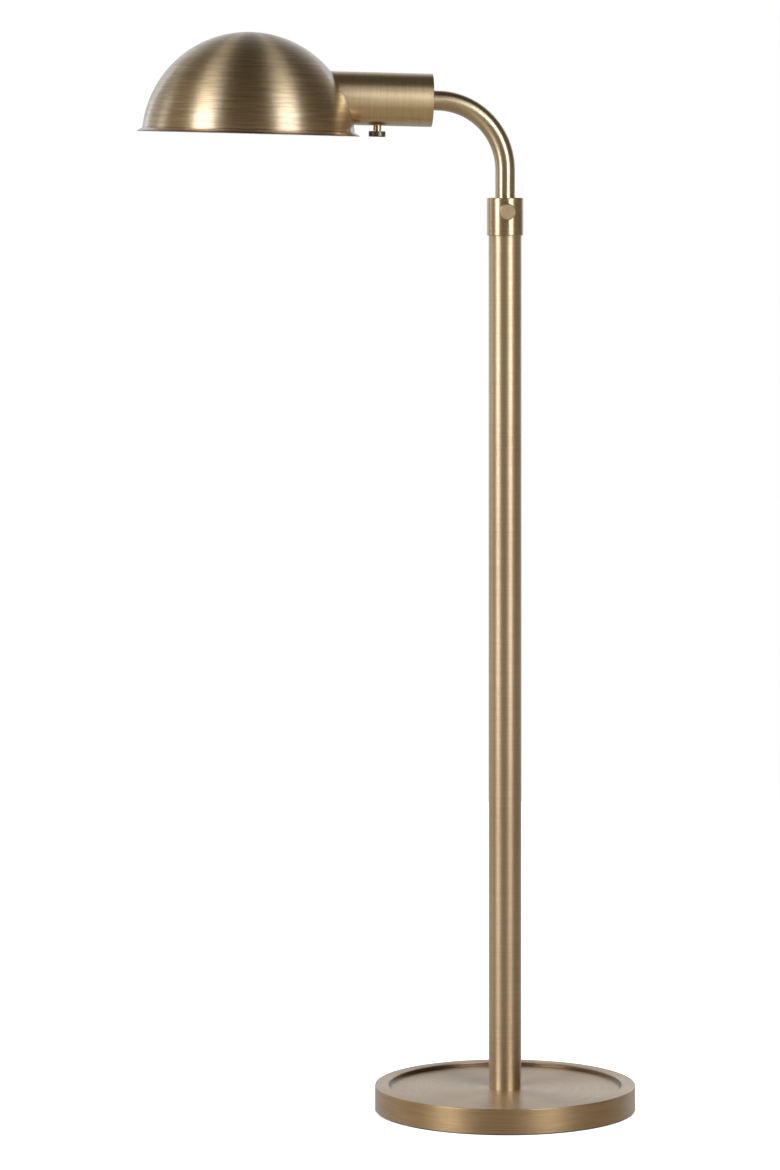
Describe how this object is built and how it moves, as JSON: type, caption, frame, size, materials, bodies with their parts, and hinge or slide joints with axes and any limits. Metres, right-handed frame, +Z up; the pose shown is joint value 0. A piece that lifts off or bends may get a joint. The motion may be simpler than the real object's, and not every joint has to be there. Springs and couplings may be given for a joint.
{
  "type": "pharmacy floor lamp",
  "caption": "Free-standing reading lamp: dished round base, straight stem, clamped arm that slides and turns, tipping dome shade and rotary dimmer.",
  "frame": {"origin": "middle of the base on the floor, on the stem's axis", "axes": "+Z up along the stem; -X along the arm towards the shade; -Y the way the clamp knob faces"},
  "size_m": [0.4797, 0.2555, 1.0454],
  "materials": {
    "aged_brass": "satin aged brass, brushed round each turned piece",
    "polished_brass": "polished brass",
    "plain_brass": "machined brass",
    "dark_bronze": "dark oil rubbed bronze, knurled",
    "cast_iron": "rough casting, painted black",
    "plated_steel": "zinc plated steel",
    "felt": "black pressed felt",
    "white_nylon": "natural nylon",
    "black_moulding": "black phenolic and nylon mouldings",
    "lead_sheath": "smooth flexible sheath",
    "frosted_glass": "frosted white glass",
    "bulb_cap_metal": "rolled aluminium thread"
  },
  "bodies": {
    "stand": {"base_shell": "aged_brass", "base_weight": "cast_iron", "base_felt": "felt", "base_nipple": "plain_brass", "base_washer": "plated_steel", "base_locknut": "plated_steel", "cord_bushing": "black_moulding", "stem_lead": "lead_sheath", "stem_tube": "aged_brass", "stem_foot_plug": "plain_brass", "collar": "aged_brass", "collar_liner": "white_nylon"},
    "clamp_screw_body": {"clamp_screw": "plain_brass"},
    "clamp_knob_body": {"clamp_knob": "polished_brass"},
    "arm_guide": {"guide_bush": "white_nylon"},
    "arm": {"arm_tube": "aged_brass", "arm_stop_rings": "plated_steel", "arm_tip_insert": "plain_brass", "swivel_nipple": "plain_brass", "swivel_washer": "white_nylon", "swivel_spring_washer": "plated_steel", "swivel_locknut": "plated_steel", "arm_lead": "lead_sheath"},
    "head": {"socket_cap": "aged_brass", "shade": "aged_brass", "socket_bracket": "plated_steel", "socket_screws": "plated_steel", "socket_body": "black_moulding", "socket_screw_shell": "plain_brass", "socket_contact": "plain_brass", "terminal_screws": "plain_brass", "switch_body": "black_moulding", "switch_bushing": "plain_brass", "switch_nut": "polished_brass", "head_leads": "lead_sheath", "bulb_glass": "frosted_glass", "bulb_screw_cap": "bulb_cap_metal"},
    "dimmer": {"switch_shaft": "plain_brass", "switch_knob": "dark_bronze"}
  },
  "joints": [
    {"name": "clamp_travel", "type": "slide", "parent": "stand", "child": "clamp_screw_body", "axis": [0, -1, 0], "range_m": [0, 0.0012]},
    {"name": "clamp_turn", "type": "hinge", "parent": "clamp_screw_body", "child": "clamp_knob_body", "pos_m": [0, -0.024, 0.874], "axis": [0, -1, 0], "range_deg": [0, 541]},
    {"name": "arm_height", "type": "slide", "parent": "stand", "child": "arm_guide", "axis": [0, 0, 1], "range_m": [-0.025, 0.205]},
    {"name": "arm_swivel", "type": "hinge", "parent": "arm_guide", "child": "arm", "pos_m": [0, 0, 0.9], "axis": [0, 0, 1], "range_deg": [-175, 175]},
    {"name": "head_tilt", "type": "hinge", "parent": "arm", "child": "head", "pos_m": [-0.07015, 0, 0.98014], "axis": [-0.9996, 0, 0.0279], "range_deg": [-90, 90]},
    {"name": "dimmer_turn", "type": "hinge", "parent": "head", "child": "dimmer", "pos_m": [-0.12287, 0, 0.9516], "axis": [-0.0279, 0, -0.9996], "range_deg": [0, 300]}
  ],
  "couplings": [
    {"joint": "clamp_turn", "follows": "clamp_travel", "rad_per_m": 7854}
  ]
}
